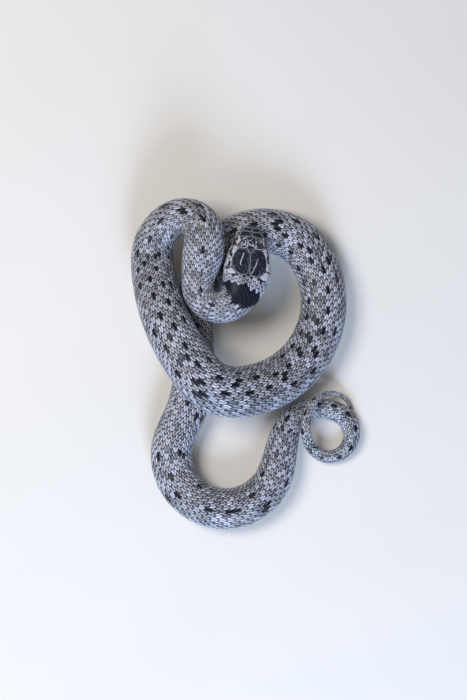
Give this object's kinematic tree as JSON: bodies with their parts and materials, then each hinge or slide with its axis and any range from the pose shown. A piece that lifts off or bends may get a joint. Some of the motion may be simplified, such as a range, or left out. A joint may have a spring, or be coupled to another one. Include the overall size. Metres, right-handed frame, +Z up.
{
  "type": "coiled false smooth snake",
  "caption": "Still, life-size false smooth snake lying in a loose double-decked coil, head resting on top, mouth closed, tail curled in a ring.",
  "frame": {"origin": "on the floor, under the middle of the model's bounding box", "axes": "+Y the way the snout points, along the longer side of the coil; +X to the snake's right at its head; +Z up from the floor"},
  "size_m": [0.0584, 0.0834, 0.0208],
  "materials": {
    "head_scales": "smooth satin shields, slate grey with pale lips",
    "back_scales": "smooth satin scales, grey with small black spots",
    "belly_scales": "smooth satin belly scales, pale with dark checks",
    "eye": "wet gloss"
  },
  "bodies": {
    "root": {"head": "head_scales", "lower_jaw": "head_scales", "eye_left": "eye", "eye_right": "eye", "neck_1": "back_scales", "neck_2": "back_scales", "trunk_1": "back_scales", "trunk_2": "back_scales", "trunk_3": "back_scales", "trunk_4": "back_scales", "trunk_5": "back_scales", "trunk_6": "back_scales", "trunk_7": "back_scales", "trunk_8": "back_scales", "trunk_9": "back_scales", "trunk_10": "back_scales", "trunk_11": "back_scales", "trunk_12": "back_scales", "trunk_13": "back_scales", "tail_1": "back_scales", "tail_2": "back_scales", "tail_3": "back_scales", "tail_4": "back_scales", "tail_5": "back_scales", "tail_6": "back_scales"}
  },
  "joints": []
}
